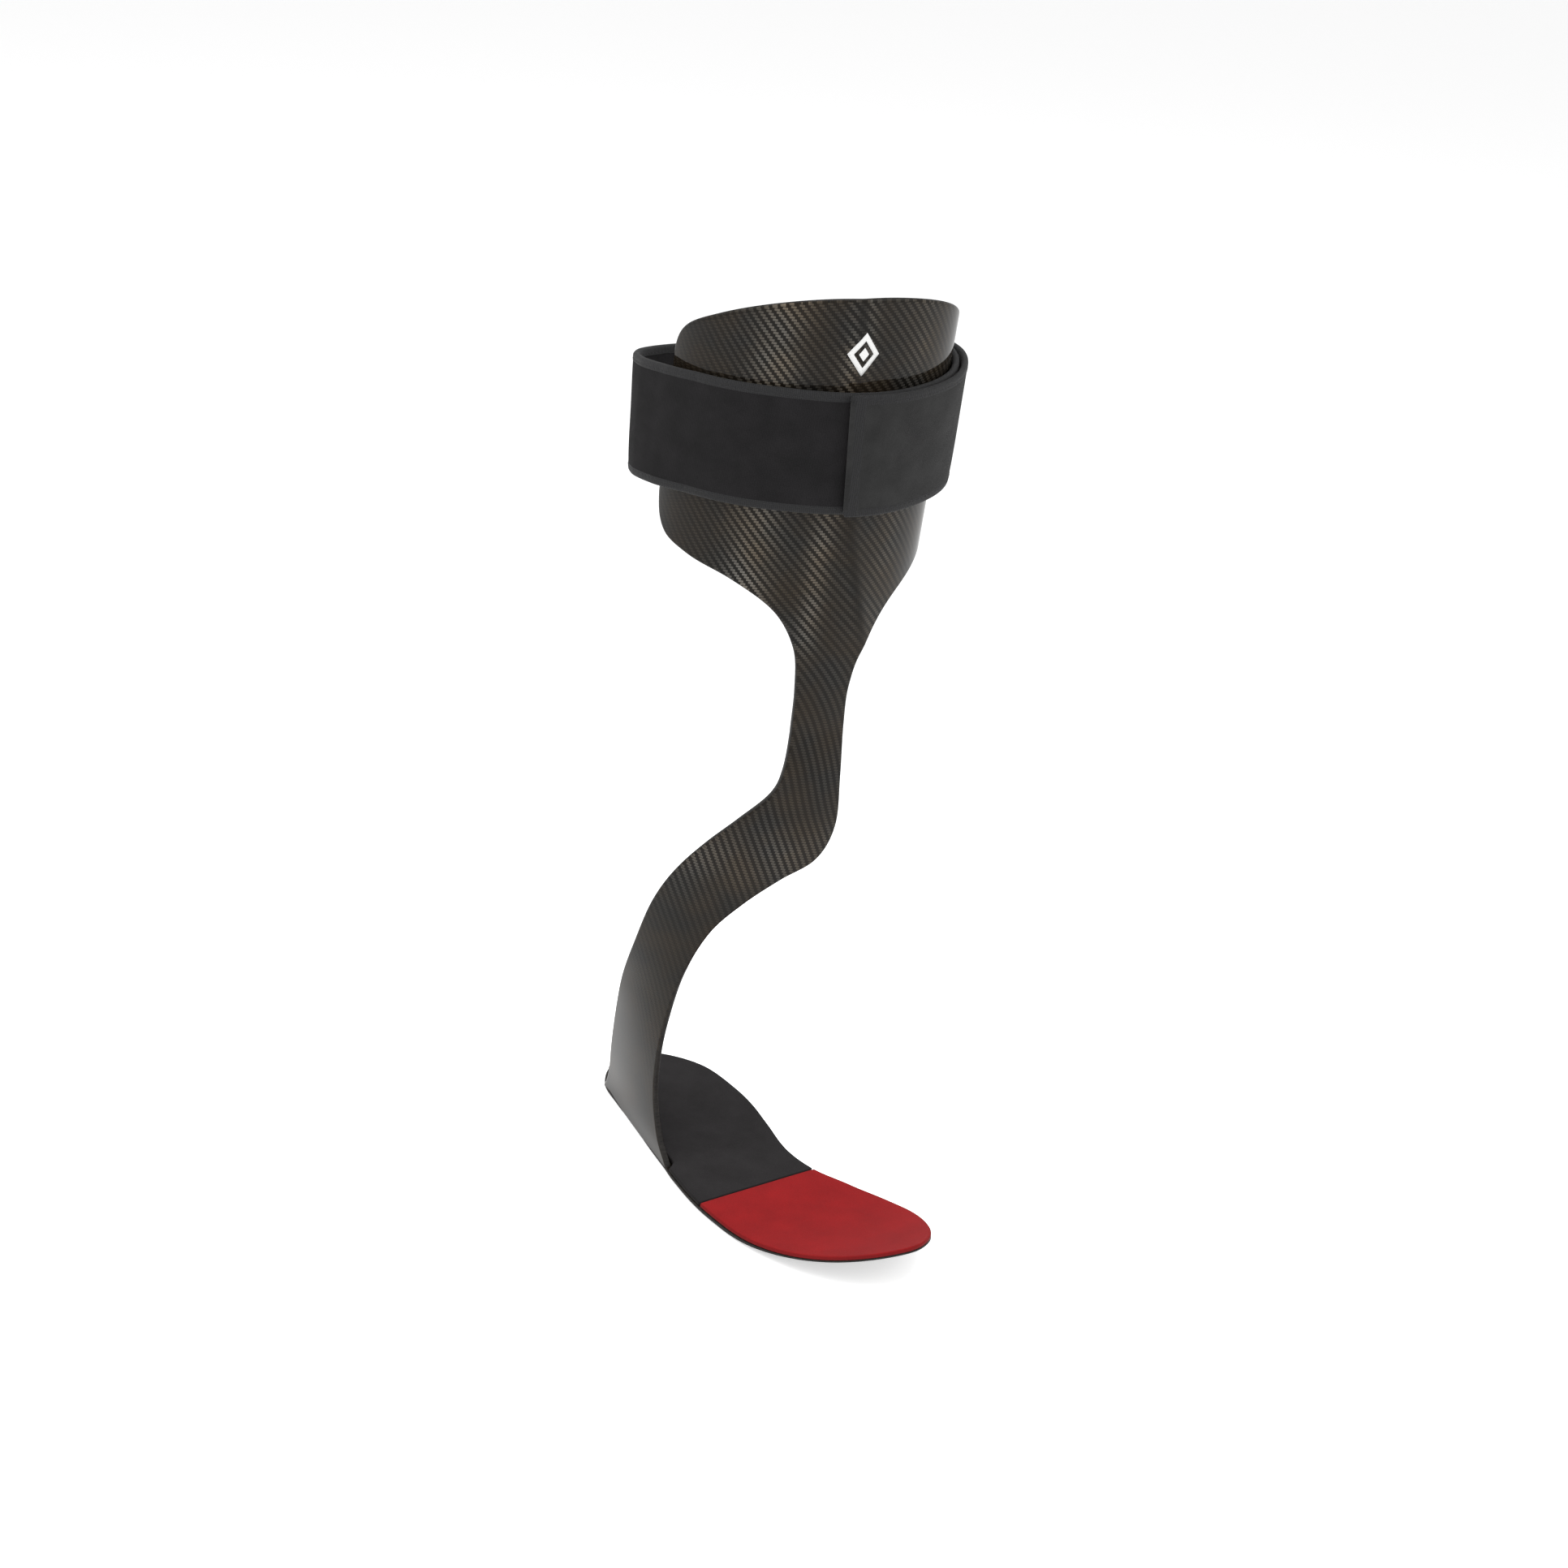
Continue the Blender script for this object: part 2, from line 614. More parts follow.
EMBLEM_INK = ink_material()
THREAD = thread_material()

# -------- carbon laminate

LAMINATE_COLUMNS = 121
LAMINATE_EDGE = 1.15  # rounding of the laminate's cut edge
ROWS_PER_STATION = 8
UPPER_ROWS = 44
CORNER_REACH = 0.55  # how far the top corners' curve follows its end directions
WEAVE_RADIUS = 62  # the cloth is laid on a cylinder of about this radius
WEAVE_TURN = 20  # the cloth is turned by this much on the strut
WEAVE_TURN_BETWEEN = (190, 300)  # heights between which it turns
WEAVE_PIVOT = (-9.5, 275)  # distance round the leg and height that it turns about
BASE_FILLET = 2  # inner radius where the wall meets the plate
BACK_FLARE, BACK_FLARE_HEIGHT = 3, 3  # the wall's back edge spreads into the plate's edge like this
WALL_TOP_STATION = 3
BASE_STATIONS = [-0.11, -0.06, 0, 0.05, 0.1, 0.16, 0.23, 0.32, 0.45]  # closer rows through the fillet

strut_stations = np.array([*STRUT_OUTLINE, *[
    [*leg_point(-lateral, z), *leg_point(medial, z), (lateral + medial) / 2]
    for lateral, medial, z in SHELL_OUTLINE[:2]
]])
STRUT_END = len(STRUT_OUTLINE)
FLEX_STATION = 11.5


def strut_middle(t):
    row = spline_row(strut_stations, t)
    return (row[:3] + row[3:6]) / 2


def strut_row(t, across, depth, inset):
    """Points across the strut or wall at station t: an arc from the back edge to the front edge."""
    row = spline_row(strut_stations, t)
    direction = unit(row[3:6] - row[:3])
    front = row[3:6]
    back = row[:3] - direction * BACK_FLARE * math.exp(-max(row[2], 0) / BACK_FLARE_HEIGHT)
    half = (front - back) / 2
    middle = (front + back) / 2
    outward = unit(np.cross(half, strut_middle(max(t, 0) + 0.05) - strut_middle(max(t - 0.05, 0))))
    bow = math.radians(row[6])
    radius = np.linalg.norm(half) / math.sin(bow)
    turn = (bow - inset / radius) * across[:, None]
    centre = middle - outward * radius * math.cos(bow)
    return centre + (radius - depth) * (unit(half) * np.sin(turn) + outward * np.cos(turn))


def shell_points(angle, z, depth):
    return leg_point(angle, z, crest_height(angle, z) - depth)


def rim_corner(side, end, end_z, slope):
    """One top corner: a smooth curve from the straight side up to the end of the rim, which has that slope.
    It runs in millimetres round the shell and up, and side and end are places round the shell."""
    start, finish = np.array([side, CORNER_Z]), np.array([end, end_z])
    above = start + [0, CORNER_REACH * (end_z - CORNER_Z)]
    before = finish - CORNER_REACH * (end - side) * np.array([1, slope])
    t = np.linspace(0, 1, 60)[:, None]
    return ((1 - t) ** 3 * start + 3 * t * (1 - t) ** 2 * above
            + 3 * t ** 2 * (1 - t) * before + t ** 3 * finish)


def top_outline(count, inset):
    """Angles and heights along the shell's rim, from one straight side to the other, evenly spaced."""
    mm_per_degree = math.radians(leg_radius(RIM_Z))
    u = np.linspace(-1, 1, 200)
    from_x, to_x = -RIM_LATERAL * mm_per_degree, RIM_MEDIAL * mm_per_degree
    per_u = (to_x - from_x) / 2
    rim = np.stack([lerp(from_x, to_x, (u + 1) / 2),
                    RIM_Z - inset + RIM_RISE * (1 - u * u) - RIM_TILT * u], axis=1)
    lateral = rim_corner(inset - SHELL_LATERAL * mm_per_degree, from_x, rim[0, 1],
                         (2 * RIM_RISE - RIM_TILT) / per_u)
    medial = rim_corner(SHELL_MEDIAL * mm_per_degree - inset, to_x, rim[-1, 1],
                        (-2 * RIM_RISE - RIM_TILT) / per_u)
    line = np.concatenate([lateral[:-1], rim, medial[:-1][::-1]])
    return evenly(line, count) / [mm_per_degree, 1]


def laminate_rows():
    """Outer points and inner points of each row across the laminate, from the sole to the rim."""
    across = np.linspace(-1, 1, LAMINATE_COLUMNS)
    stations = BASE_STATIONS + list(np.arange(0.6, STRUT_END - 0.1, 1 / ROWS_PER_STATION))
    outer, inner = [], []
    for t in stations:
        share = smooth(t, WALL_TOP_STATION - 0.5, FLEX_STATION)
        thick = lerp(WALL_THICK, STRUT_THICK, share)
        height = spline_row(strut_stations, t)[2]
        below = max(BASE_FILLET - height, 0)
        thick += BASE_FILLET - math.sqrt(max(BASE_FILLET ** 2 - below ** 2, 0))
        outer.append(strut_row(t, across, 0, LAMINATE_EDGE))
        inner.append(strut_row(t, across, thick, LAMINATE_EDGE))
    inset = math.degrees(LAMINATE_EDGE / LEG_RADIUS)
    shell_stations = np.arange(0, SIDE_STATION + 1e-6, 1 / ROWS_PER_STATION)
    for t in shell_stations:
        lateral, medial, z = spline_row(SHELL_OUTLINE, t)
        angle = lerp(inset - lateral, medial - inset, (across + 1) / 2)
        thick = lerp(STRUT_THICK, SHELL_THICK, smooth(t, 0, 3))
        outer.append(shell_points(angle, z, 0))
        inner.append(shell_points(angle, z, thick))
    rim = top_outline(LAMINATE_COLUMNS, LAMINATE_EDGE)
    for share in np.linspace(0, 1, UPPER_ROWS + 1)[1:]:
        low_angle = lerp(inset - SHELL_LATERAL, SHELL_MEDIAL - inset, (across + 1) / 2)
        angle = lerp(low_angle, rim[:, 0], share)
        height = lerp(SHELL_OUTLINE[SIDE_STATION, 2], rim[:, 1], share)
        outer.append(shell_points(angle, height, 0))
        inner.append(shell_points(angle, height, SHELL_THICK))
    return np.array(outer), np.array(inner)


def laid_flat(points):
    """Flat cloth coordinates of laminate points: distance round the leg, and height. The cloth is laid
    turned by WEAVE_TURN on the strut, and straight on the shell."""
    x, y, z = points[..., 0], points[..., 1], points[..., 2]
    across = WEAVE_RADIUS * np.arctan2(y - LEG_Y, x - leg_x(z)) - WEAVE_PIVOT[0]
    up = z - WEAVE_PIVOT[1]
    turn = np.radians(WEAVE_TURN * (1 - smooth(z, *WEAVE_TURN_BETWEEN)))
    return np.stack([
        across * np.cos(turn) - up * np.sin(turn),
        across * np.sin(turn) + up * np.cos(turn),
    ], axis=-1)


# Where the fibres shine: place, half width and strength, in degrees round the shell, and by height on
# the strut.
SHELL_SHINE, STRUT_SHINE = 0.14, 0.13  # all over
LATERAL_FACET = (-48, 8.5, 0.95)
RIDGE_SIDE = (0, 4.5, 0.85)  # from the ridge's side, which leans over the shell as below
MEDIAL_FACET = (30, 9, 0.3)  # likewise
RIDGE_SIDE_LINE = ([325, 420], [-21, -18])  # heights and angles
SWEEP_FACET = (174, 13, 0.4)
SHELL_FADE, SIDE_FADE, SWEEP_FADE, CREST_FADE = (262, 300), (-88, -60), (120, 165), (0, 4)


def lustre(points):
    """How brightly the fibres shine, from 0 to 1: it depends on how the cloth lies over each facet."""
    x, y, z = points[:, 0], points[:, 1], points[:, 2]
    angle = np.degrees(np.arctan2(y - LEG_Y, x - leg_x(z)))
    from_ridge = angle - np.interp(z, *RIDGE_SIDE_LINE)
    shell = (SHELL_SHINE + bell(angle, *LATERAL_FACET) + bell(from_ridge, *RIDGE_SIDE)
             + bell(from_ridge, *MEDIAL_FACET)) * smooth(angle, *SIDE_FADE)
    strut = (STRUT_SHINE + bell(z, *SWEEP_FACET)) * smooth(z, *SWEEP_FADE)
    shine = lerp(strut, shell, smooth(z, *SHELL_FADE))
    return np.clip(shine, 0, 1) * smooth(np.abs(angle - crest_angle(z)), *CREST_FADE)


def joint_place(name):
    return next(joint for joint in frame["joints"] if joint["name"] == name)["pos_m"]


def make_laminate():
    outer, inner = laminate_rows()
    made = slab("carbon_laminate", outer, inner, LAMINATE_EDGE, laid_flat(outer), CARBON, CUT_EDGE)
    point_values(made.data, "lustre", lustre(np.array([v.co for v in made.data.vertices]) / MM))
    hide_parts("lateral_wall", "lower_strut", "upper_strut", "shin_shell")
    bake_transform(made)


# -------- sole

SOLE_ROWS, SOLE_COLUMNS = 90, 33
COVER_EASE = 4  # the cover's edge turns in beside the wall over this length
SOLE_TIP = 0.06  # rows stop this far short of the outline's ends
TOE_THINNING = 0.9  # the plate is this much thinner at the toes
TOE_THINNING_RUN = 45  # and thins over this length from the ball
PLATE_EDGE, COVER_EDGE = 0.9, 0.8  # rounding of the edges
COVER_SEAM = 0.95  # each cover's rounded end starts this far from the line where they meet
COVER_CROWN = 0.12
COVER_FLOAT = 0.05  # the covers lie this far above the plate
WALL_OUTSIDE = 0.5  # the plate's edge lies this far inside the wall's outer face
REAR_FLAT, FRONT_FLAT = (0.078, 0.140), (0.080, 0.104)  # metres: the covers' flat sizes
sole_line = closed_spline(SOLE_OUTLINE, 16)


def sole_edges(inset):
    """The sole's outline, moved in by inset, as its lateral and its medial edge: two lines of x and y."""
    tangent = unit(np.roll(sole_line, -1, axis=0) - np.roll(sole_line, 1, axis=0))
    line = sole_line + inset * np.stack([-tangent[:, 1], tangent[:, 0]], axis=1)
    line = np.roll(line, -int(np.argmin(line[:, 0])), axis=0)
    toe = int(np.argmax(line[:, 0]))
    return line[:toe + 1], np.concatenate([line[toe:], line[:1]])[::-1]


def toe_lift(x):
    share = np.maximum(x - BALL_X, 0) / (sole_line[:, 0].max() - BALL_X)
    return TOE_SPRING * share ** SPRING_POWER


def beside_wall(x):
    """1 where the wall stands, and 0 beyond its two ends."""
    return (smooth(x, WALL_REAR_X - COVER_EASE, WALL_REAR_X + COVER_EASE)
            * (1 - smooth(x, WALL_FRONT_X - COVER_EASE, WALL_FRONT_X)))


def sole_grid(inset, x_from, x_to, wall_inset):
    """Rows of x and y across the sole, with the lateral edge moved in by wall_inset beside the wall."""
    lateral, medial = sole_edges(inset)
    low = max(x_from, lateral[0, 0] + SOLE_TIP)
    high = min(x_to, lateral[-1, 0] - SOLE_TIP)
    turn = np.linspace(0, math.pi, SOLE_ROWS)
    x = lerp(low, high, (1 - np.cos(turn)) / 2)
    from_y = np.interp(x, lateral[:, 0], lateral[:, 1]) + wall_inset * beside_wall(x)
    to_y = np.interp(x, medial[:, 0], medial[:, 1])
    share = np.linspace(0, 1, SOLE_COLUMNS)
    y = lerp(from_y[:, None], to_y[:, None], share)
    return np.broadcast_to(x[:, None], y.shape), y


def sole_piece(name, x_from, x_to, low, high, edge, border_width, wall_inset, crown, material, rim=None,
               thinning=0):
    """A layer of the sole between two heights, and its flat area. thinning raises its underside at the
    toes, where it has to bend."""
    x, y = sole_grid(edge + border_width, x_from, x_to, wall_inset)
    lift = toe_lift(x)
    bulge = crown * (1 - np.abs(np.linspace(-1, 1, SOLE_COLUMNS)) ** 6)[None, :]
    outer = np.stack([x, y, high - crown + bulge + lift], axis=-1)
    raised = thinning * smooth(x, BALL_X, BALL_X + TOE_THINNING_RUN)
    inner = np.stack([x, y, low + raised + lift], axis=-1)
    made = slab(name, outer, inner, edge, outer[..., :2], material, rim)
    width = y[:, -1] - y[:, 0]
    area = ((width[1:] + width[:-1]) / 2 * np.diff(x[:, 0])).sum() * MM * MM
    return made, area


def bends_at_ball(piece):
    """The piece bends with the plate, from the arch to the ball of the foot."""
    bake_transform(piece)


def make_sole():
    plate, _ = sole_piece("footplate", -math.inf, math.inf, 0, PLATE_THICK, PLATE_EDGE, 0, WALL_OUTSIDE, 0,
                          CARBON, CUT_EDGE, TOE_THINNING)
    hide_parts("rear_footplate", "forefoot_plate")
    bends_at_ball(plate)
    wall_inset = COVER_WALL_BORDER - COVER_BORDER
    for x_from, x_to, inset, material, flat, node, slot in (
        (-math.inf, FOREFOOT_X - COVER_SEAM, wall_inset, BLACK_COVER, REAR_FLAT,
         "rear_foot_cover", "black_cover"),
        (FOREFOOT_X + COVER_SEAM, math.inf, 0, RED_COVER, FRONT_FLAT, "forefoot_cover", "red_cover"),
    ):
        piece, area = sole_piece(f"{node}_skin", x_from, x_to, PLATE_THICK + COVER_FLOAT, COVER_TOP,
                                 COVER_EDGE, COVER_BORDER, inset, COVER_CROWN, material)
        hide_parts(node)
        bends_at_ball(piece)


# -------- strap

BAND_STEP = 1.5  # degrees between the strap's columns
BAND_ROWS = 22
TIP_SLANT, TIP_SLANT_SPREAD = 3.6, 14  # degrees
FOLD_EASE = 6  # degrees each side of a fold line over which the two runs meet
LAP_GAP = 0.1
BAND_INSET = 1.6  # the band's faces stop this far inside its tapes' outer edges
BAND_EDGE, BAND_CROWN = 1.1, 0.35  # rounding of the band's edge, and how far its middle swells
TAPE_CRISP = 0.3  # rounding of a tape's inner edge
SEAM_INSET = 1.1  # a tape's seam lies this far from its inner edge
LAP_SEAM, END_SEAM = 3, 2.9  # degrees: the seams of the lap and the end tape lie this far in


def strap_lift(angle):
    """How far the strap climbs on the medial side, and hangs lower at the back."""
    turn = np.radians(angle)
    rise = STRAP_MEDIAL_RISE * np.maximum(0, np.sin(turn)) ** 2
    return rise - STRAP_REAR_DROP * ((1 - np.cos(turn)) / 2) ** 3


def rear_stand_off(angle, z):
    """Inner face of the rear band, for angles from 90 to 270."""
    flare = REAR_FLARE * np.interp(angle, FLARE_SHARE[:, 0], FLARE_SHARE[:, 1])
    return (np.interp(angle, REAR_STAND_OFF[:, 0], REAR_STAND_OFF[:, 1])
            + flare * (z - (STRAP_LOW + STRAP_HIGH) / 2))


def bridge(angle, z):
    """How far the strap bridges out over the crest."""
    return bell(angle, crest_angle(z), STRAP_CREST_SPREAD, STRAP_CREST)


def front_stand_off(angle, z):
    """Inner face of the front band and of the lateral half of the rear band, for angles down to -180."""
    front = (FRONT_STAND_OFF + bridge(angle, z)
             + np.interp(angle, [STRAP_ANCHOR, ANCHOR_LIFT_FROM], [ANCHOR_STAND_OFF, 0]))
    past_fold = smooth(angle, STRAP_ANCHOR - FOLD_EASE, STRAP_ANCHOR + FOLD_EASE)
    return lerp(rear_stand_off(angle + 360, z), front, past_fold)


def tongue_stand_off(angle, z):
    """Inner face of the tongue and of the medial half of the rear band, up to and over the lap."""
    tongue = TONGUE_STAND_OFF + bridge(angle, z)
    over_lap = (STRAP_THICK + LAP_GAP) * smooth(angle, 180 - 5 * LAP, 180 - LAP)
    past_fold = smooth(angle, TONGUE_ROOT - FOLD_EASE, TONGUE_ROOT + FOLD_EASE)
    return lerp(tongue, rear_stand_off(angle, z) + over_lap, past_fold)


def softness(angle, z):
    """Slight slackness of the fabric, in millimetres."""
    a = np.radians(angle)
    return 0.22 * np.sin(5 * a + 0.05 * z) + 0.12 * np.sin(11 * a - 0.11 * z + 1)


def slanted(angle, z):
    """The tongue's end is cut a little aslant: angles beside it shift with the height along it."""
    slant = bell(angle, TONGUE_TIP, TIP_SLANT_SPREAD, TIP_SLANT)
    return angle - slant * (z - STRAP_LOW) / (STRAP_HIGH - STRAP_LOW)


def strap_points(angle, z, stand_off, offset):
    """Points on the strap, on a face at offset."""
    angle = slanted(angle, z)
    height = z + strap_lift(angle)
    return leg_point(angle, height, stand_off(angle, height) + softness(angle, z) + offset)


def band_part(name, angles, heights, stand_off, low, high, edge, crown, material):
    """A strip of the strap: heights are along its width, and low and high are its faces' offsets."""
    angle, z = np.meshgrid(angles, heights)
    share = (z - STRAP_LOW) / (STRAP_HIGH - STRAP_LOW) * 2 - 1
    outer = strap_points(angle, z, stand_off, high + crown * (1 - share ** 6))
    inner = strap_points(angle, z, stand_off, low)
    return slab(name, outer, inner, edge, unrolled(slanted(angle, z), z), material)


def angles_between(start, end):
    return np.linspace(start, end, int(abs(end - start) / BAND_STEP) + 1)


def edge_tapes(name, angles, stand_off):
    """The tapes folded over the band's two long edges."""
    soft = STRAP_THICK / 2 + TAPE_PROUD - 0.05
    share = np.linspace(0, 1, 6)
    radius = lerp(soft, TAPE_CRISP, share)
    made = []
    for end, way in ((STRAP_LOW, 1), (STRAP_HIGH, -1)):
        z = end + way * lerp(soft, TAPE_HEIGHT - TAPE_CRISP, share)
        made.append(band_part(f"{name}_{len(made)}", angles, z[::way], stand_off, -TAPE_PROUD,
                              STRAP_THICK + TAPE_PROUD, radius[::way], 0, BINDING_TAPE))
    return made


def end_tape(angles, stand_off):
    """The tape folded over the tongue's free end."""
    fold = STRAP_THICK / 2 + TAPE_PROUD
    width = math.degrees(TAPE_HEIGHT / LEG_RADIUS)
    across = np.linspace(angles[0] + math.degrees(fold / LEG_RADIUS) / 2, angles[0] + width, 6)
    heights = np.linspace(STRAP_LOW + 1, STRAP_HIGH - 1, BAND_ROWS)
    return band_part("end_tape", across, heights, stand_off, -TAPE_PROUD - 0.05,
                     STRAP_THICK + TAPE_PROUD + 0.05, 0.9, 0, BINDING_TAPE)


def joined(name, objects):
    """The objects as one, with that name."""
    with bpy.context.temp_override(
        active_object=objects[0], selected_objects=objects, selected_editable_objects=objects
    ):
        bpy.ops.object.join()
    objects[0].name = name
    objects[0].data.name = name
    return objects[0]


STITCH_LENGTH, STITCH_PITCH, STITCH_RADIUS, STITCH_FLATNESS = 2.1, 3.0, 0.22, 0.8


def stitches(name, seams):
    """Small raised stitches along seams. Each seam is (points, normals) in millimetres, evenly spaced."""
    around = np.linspace(0, 2 * math.pi, 7)[:-1]
    along = np.array([-1, -0.7, 0, 0.7, 1])
    fat = np.array([0.35, 0.85, 1, 0.85, 0.35])
    points, faces = [], []
    for line, normals in seams:
        for k in range(len(line) - 1):
            direction = unit(line[k + 1] - line[k])
            middle = (line[k] + line[k + 1]) / 2
            up = normals[k]
            side = np.cross(direction, up)
            first = len(points)
            for step, size in zip(along, fat):
                ring = middle + direction * step * STITCH_LENGTH / 2
                for turn in around:
                    out = side * math.cos(turn) + up * STITCH_FLATNESS * math.sin(turn)
                    points.append(ring + STITCH_RADIUS * size * out)
            rings = np.arange(first, len(points)).reshape(len(along), -1)
            faces += faces_between(rings) + [rings[0, ::-1].tolist(), rings[-1].tolist()]
    first_stitch = faces[:2 + len(around) * (len(along) - 1)]
    if facing_out(points[:rings.size], first_stitch) is not first_stitch:
        faces = [face[::-1] for face in faces]
    return make_object(name, points, faces, material=THREAD)


def off_axis(line):
    """Unit vectors out from the leg's axis to the line's points."""
    return unit(line - np.stack([leg_x(line[:, 2]), np.full(len(line), LEG_Y), line[:, 2]], axis=1))


def stitch_places(line):
    """Points along the line, a stitch apart."""
    length = np.linalg.norm(np.diff(line, axis=0), axis=1).sum()
    return evenly(line, int(length / STITCH_PITCH) + 1)


def strap_seam(angles, z, stand_off, offset, outward):
    """A seam's points and normals along the strap, at height z, on a face at offset."""
    line = stitch_places(strap_points(np.linspace(angles[0], angles[-1], 1200), z, stand_off, offset))
    return line, off_axis(line) * outward


def cross_seam(angle, stand_off, offset):
    """A seam's points and normals up the strap between its tapes, at one angle, on its outer face."""
    low, high = STRAP_LOW + TAPE_HEIGHT + 1, STRAP_HIGH - TAPE_HEIGHT - 1
    z = np.linspace(low, high, int((high - low) / STITCH_PITCH) + 1)
    line = strap_points(angle, z, stand_off, offset)
    return line, off_axis(line)


def edge_seams(angles, stand_off):
    """The four stitched lines that hold the edge tapes: both edges, both faces."""
    inset = TAPE_HEIGHT - SEAM_INSET
    for z in (STRAP_LOW + inset, STRAP_HIGH - inset):
        yield strap_seam(angles, z, stand_off, STRAP_THICK + TAPE_PROUD, 1)
        yield strap_seam(angles, z, stand_off, -TAPE_PROUD, -1)


def make_strap():
    heights = np.linspace(STRAP_LOW + BAND_INSET, STRAP_HIGH - BAND_INSET, BAND_ROWS)
    lateral_angles = angles_between(-180 - LAP, FRONT_END)
    medial_angles = angles_between(TONGUE_TIP, 180 + LAP)
    runs = (
        ("strap_front_band", lateral_angles, front_stand_off, STRAP_CLOTH, "shin", "strap_swing",
         ("strap_front",)),
        ("strap_tongue_band", medial_angles, tongue_stand_off, LOOP_PILE, "tongue", "tongue_peel",
         ("strap_rear", "strap_tongue")),
    )
    for name, angles, stand_off, cloth, body, joint, nodes in runs:
        band = band_part(name, angles, heights, stand_off, 0, STRAP_THICK, BAND_EDGE, BAND_CROWN, cloth)
        tapes = edge_tapes(name, angles, stand_off)
        seams = list(edge_seams(angles, stand_off))
        if name == "strap_tongue_band":
            tapes.append(end_tape(angles, stand_off))
            for angle in (180 - LAP + LAP_SEAM, 180 + LAP - LAP_SEAM):
                seams.append(cross_seam(angle, stand_off, STRAP_THICK + BAND_CROWN))
            seams.append(cross_seam(TONGUE_TIP + END_SEAM, stand_off, STRAP_THICK + TAPE_PROUD))
        tapes = joined(f"{name}_tapes", tapes)
        sewn = stitches(f"{name}_stitches", seams)
        at = joint_place(joint)[0]
        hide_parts(*nodes)
        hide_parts(*[f"{node}_tape_{end}" for node in nodes for end in ("low", "high")])
        for piece, slot in ((band, "strap_cloth"), (tapes, "binding_tape"), (sewn, "binding_tape")):
            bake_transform(piece)


# -------- liner

LINER_CORNER = 13
LINER_HEM = 5.5
LINER_EDGE = 0.9  # rounding of the liner's edge
LINER_HEM_THICK = 1.7
LINER_CHANNELS = (-34, 18)  # angles of its two sewn channels
LINER_CREST = (-13, 20, 1.2)  # where and how far it follows the shell out under the crest


def make_liner():
    """Padded liner: a foam pad in cloth, thin along its sewn hem, with sewn channels down it."""
    middle_z, half_z = (LINER_LOW + LINER_HIGH) / 2, (LINER_HIGH - LINER_LOW) / 2
    inset = LINER_EDGE
    turn = np.radians(np.linspace(0, 90, 12))
    corner = LINER_CORNER - inset
    rise = half_z - LINER_CORNER + corner * np.sin(turn)
    give = corner * (1 - np.cos(turn))
    straight = np.linspace(-(half_z - LINER_CORNER), half_z - LINER_CORNER, 24)[1:-1]
    z_off = np.concatenate([-rise[::-1], straight, rise])
    narrow = np.concatenate([give[::-1], np.zeros(len(straight)), give])
    degrees_per_mm = math.degrees(1 / (leg_radius(middle_z) + LINER_FACE))
    low = LINER_LATERAL + (inset + narrow) * degrees_per_mm
    high = LINER_MEDIAL - (inset + narrow) * degrees_per_mm
    share = np.linspace(0, 1, 110)
    angle = lerp(low[:, None], high[:, None], share)
    z = np.broadcast_to((middle_z + z_off)[:, None], angle.shape)
    from_side = np.minimum(angle - low[:, None], high[:, None] - angle) / degrees_per_mm
    from_end = half_z - np.abs(z - middle_z)
    from_edge = np.minimum(from_side, from_end)
    plump = smooth(from_edge, LINER_HEM - 1, LINER_HEM + 7)
    for channel in LINER_CHANNELS:
        away = np.abs(angle - channel) / degrees_per_mm
        plump = plump * smooth(away, 0.4, 6)
    pucker = bell(from_edge, LINER_HEM, 3, 0.25) * np.sin(angle * 2.1 + 0.4 * np.sin(z * 0.3))
    thick = LINER_HEM_THICK + (LINER_THICK - LINER_HEM_THICK - 0.2) * plump + pucker
    face = LINER_FACE + bell(angle, *LINER_CREST)
    outer, inner = leg_point(angle, z, face), leg_point(angle, z, face - thick)
    made = slab("liner_pad", outer, inner, inset, unrolled(angle, z), LINER_CLOTH)
    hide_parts("shin_liner")
    hems = [inner[row, 8:-8] for row in (4, -5)] + [inner[10:-10, column] for column in (6, -7)]
    lines = [stitch_places(hem) for hem in hems]
    sewn = stitches("liner_stitches", [(line, -off_axis(line)) for line in lines])
    for piece in (made, sewn):
        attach(piece, "shin")


# -------- emblem


def emblem_points(x, y, off):
    """Points on the shell at a share x and y of the emblem's half sizes."""
    z = EMBLEM_Z + EMBLEM_HALF_HEIGHT * y
    angle = EMBLEM_ANGLE + np.degrees(EMBLEM_HALF_WIDTH * x / leg_radius(EMBLEM_Z))
    return leg_point(angle, z, crest_height(angle, z) + off)


def make_emblem():
    """A lozenge frame round a small solid lozenge, printed on the shell."""
    proud, sunk, per_side, core_half = 0.16, -0.1, 8, 0.3
    corners = np.array([[1, 0], [0, 1], [-1, 0], [0, -1]], float)
    share = np.arange(per_side)[:, None] / per_side
    loop = np.concatenate([lerp(corners[k], corners[(k + 1) % 4], share) for k in range(4)])
    levels = [(1, sunk), (1, proud), (0.8, proud), (0.62, proud), (0.62, sunk), (0.8, sunk)]
    points = np.concatenate(
        [emblem_points(loop[:, 0] * scale, loop[:, 1] * scale, off) for scale, off in levels])
    loops = np.arange(len(points)).reshape(len(levels), -1)
    faces = faces_between([*loops, loops[0]])
    ring = make_object("emblem_frame", points, facing_out(points, faces), material=EMBLEM_INK)
    u, v = np.meshgrid(np.linspace(-1, 1, 9), np.linspace(-1, 1, 9))
    x, y = (u - v) / 2 * core_half, (u + v) / 2 * core_half
    outer, inner = emblem_points(x, y, proud), emblem_points(x, y, sunk)
    core = slab("emblem_core", outer, inner, 0.1, np.stack([x, y], axis=-1), EMBLEM_INK)
    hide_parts("emblem")
    for piece in (ring, core):
        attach(piece, "shin")


# -------- hook tapes that stay as the CAD made them


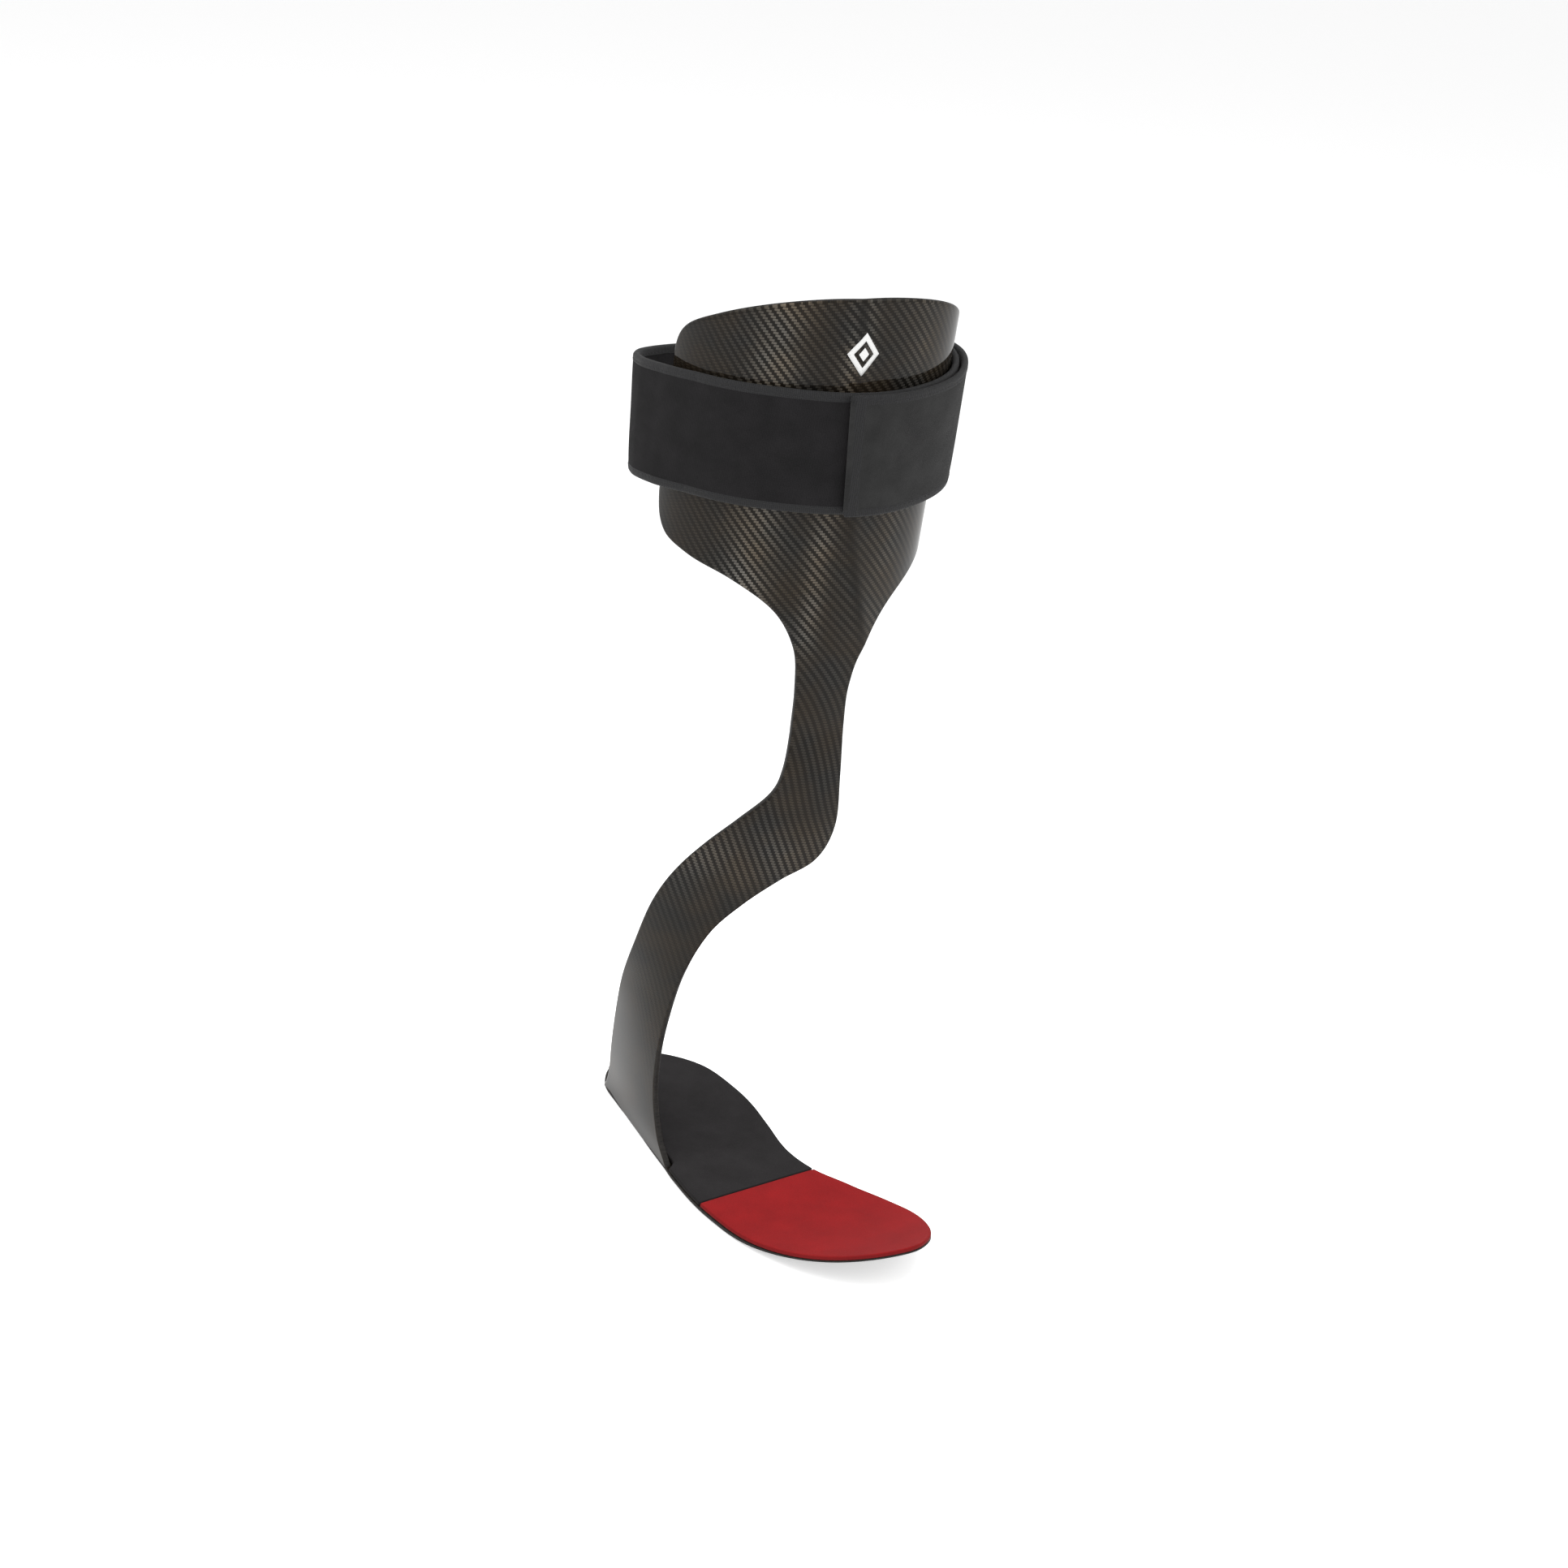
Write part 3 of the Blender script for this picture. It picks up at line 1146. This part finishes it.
def finish_hooks():
    for name, node in frame["nodes"].items():
        if "hook" in name or "dot" in name:
            node.data.materials.clear()
            node.data.materials.append(HOOK_TAPE)


# -------- studio


def area_light(name, azimuth, elevation, distance, size, power):
    """A square soft box aimed at the middle of the object."""
    centre = (cad_box[0] + cad_box[1]) / 2
    back = direction(azimuth, elevation)
    data = bpy.data.lights.new(name, "AREA")
    data.shape = "SQUARE"
    data.size = size
    data.energy = power
    light = linked(name, data)
    light.location = centre + back * distance
    light.rotation_mode = "QUATERNION"
    light.rotation_quaternion = (-back).to_track_quat("-Z", "Y")


POOL_FROM, POOL_TO = 0.22, 0.6  # metres: the light table glows up to here, and fades out up to there
POOL_GLOW = 0.5
FLOOR_SIZE, FLOOR_GAP = 12, 0.0004  # metres


def make_studio():
    """A pale floor, lit from below round the object like a light table, and three soft boxes."""
    half = FLOOR_SIZE / 2
    floor_z = cad_box[0].z - FLOOR_GAP
    mesh = bpy.data.meshes.new("floor")
    mesh.from_pydata([(-half, -half, floor_z), (half, -half, floor_z), (half, half, floor_z),
                      (-half, half, floor_z)], [], [(0, 1, 2, 3)])
    floor = linked("floor", mesh)
    material, tree, shader = start_material(
        "floor_paper", Roughness=0.9, Base_Color=colour(0.94, 0.94, 0.94), Specular_IOR_Level=0.1,
        Emission_Color=colour(1, 1, 1))
    distance = add(tree, "VectorMath", {0: object_place(tree)}, operation="LENGTH").outputs["Value"]
    glow = times(tree, ramp(tree, distance, POOL_TO, POOL_FROM), POOL_GLOW)
    tree.links.new(glow, shader.inputs["Emission Strength"])
    mesh.materials.append(material)
    world = bpy.data.worlds.new("studio")
    world.use_nodes = True
    background = world.node_tree.nodes["Background"]
    background.inputs["Color"].default_value = colour(1, 1, 1)
    background.inputs["Strength"].default_value = 1.0
    bpy.context.scene.world = world
    area_light("top_soft_box", 20, 80, 2.2, 2.2, 26)
    area_light("left_soft_box", -25, 30, 2.2, 1.6, 8)
    area_light("right_soft_box", 125, 30, 2.2, 1.4, 9)
    bpy.context.scene.view_settings.view_transform = "Standard"


make_laminate()
make_sole()
make_strap()
make_liner()
make_emblem()
finish_hooks()
make_studio()
